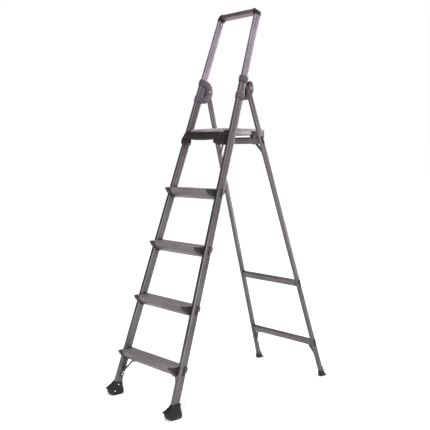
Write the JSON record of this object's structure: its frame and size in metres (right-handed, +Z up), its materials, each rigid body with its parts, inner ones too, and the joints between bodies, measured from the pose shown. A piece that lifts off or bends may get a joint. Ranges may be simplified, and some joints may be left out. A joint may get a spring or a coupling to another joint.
{
  "type": "step ladder",
  "caption": "Folding platform step ladder with flat grooved treads, a studded standing platform, a guard rail above it and a hinged rear frame.",
  "frame": {"origin": "on the floor, in the middle of the footprint of the open ladder", "axes": "+Z up; +X the right of a person climbing it, across the ladder; +Y from the treads towards the rear frame"},
  "size_m": [0.492, 1.0126, 1.7918],
  "materials": {
    "stile_metal": "satin anodised",
    "tread_metal": "satin, grooved along the tread",
    "rear_metal": "satin anodised",
    "pin_steel": "bright turned",
    "black_plastic": "fine moulded grain",
    "hinge_plastic": "fine moulded grain",
    "foot_rubber": "matt"
  },
  "bodies": {
    "front_frame": {"front_stile_left": "stile_metal", "guard_post_left": "stile_metal", "hinge_bracket_left": "hinge_plastic", "front_stile_right": "stile_metal", "guard_post_right": "stile_metal", "hinge_bracket_right": "hinge_plastic", "hinge_pin_left": "pin_steel", "hinge_pin_right": "pin_steel", "tread_1": "tread_metal", "tread_cap_1_left": "black_plastic", "tread_cap_1_right": "black_plastic", "tread_2": "tread_metal", "tread_cap_2_left": "black_plastic", "tread_cap_2_right": "black_plastic", "tread_3": "tread_metal", "tread_cap_3_left": "black_plastic", "tread_cap_3_right": "black_plastic", "tread_4": "tread_metal", "tread_cap_4_left": "black_plastic", "tread_cap_4_right": "black_plastic", "front_foot_left": "foot_rubber", "front_foot_right": "foot_rubber", "guard_top_bar": "stile_metal", "guard_corner_left": "black_plastic", "guard_corner_right": "black_plastic", "front_brace_left": "rear_metal", "front_brace_right": "rear_metal", "platform_front_moulding": "black_plastic", "platform_bracket_left": "black_plastic", "platform_bracket_right": "black_plastic"},
    "rear_frame": {"rear_leg_left": "rear_metal", "rear_hinge_knuckle_left": "hinge_plastic", "rear_leg_right": "rear_metal", "rear_hinge_knuckle_right": "hinge_plastic", "rear_foot_left": "foot_rubber", "rear_foot_right": "foot_rubber", "rear_bar_lower": "rear_metal", "rear_bar_end_lower_left": "black_plastic", "rear_bar_end_lower_right": "black_plastic", "rear_lower_brace_left": "rear_metal", "rear_lower_brace_right": "rear_metal", "rear_bar_middle": "rear_metal", "rear_bar_end_middle_left": "black_plastic", "rear_bar_end_middle_right": "black_plastic", "rear_bar_upper": "rear_metal", "rear_bar_end_upper_left": "black_plastic", "rear_bar_end_upper_right": "black_plastic", "rear_upper_brace_left": "rear_metal", "rear_upper_brace_right": "rear_metal"},
    "platform": {"platform_deck": "hinge_plastic", "platform_rail_left": "tread_metal", "platform_hook_left": "black_plastic", "platform_pivot_pin_left": "pin_steel", "platform_rail_right": "tread_metal", "platform_hook_right": "black_plastic", "platform_pivot_pin_right": "pin_steel"}
  },
  "joints": [
    {"name": "rear_frame_fold", "type": "hinge", "parent": "front_frame", "child": "rear_frame", "pos_m": [0, 0.03879, 1.417], "axis": [-1, 0, 0], "range_deg": [0, 35]},
    {"name": "platform_fold", "type": "hinge", "parent": "front_frame", "child": "platform", "pos_m": [0, -0.07729, 1.2137], "axis": [1, 0, 0], "range_deg": [0, 71]}
  ],
  "couplings": [
    {"joint": "platform_fold", "follows": "rear_frame_fold", "ratio": 2.013}
  ]
}
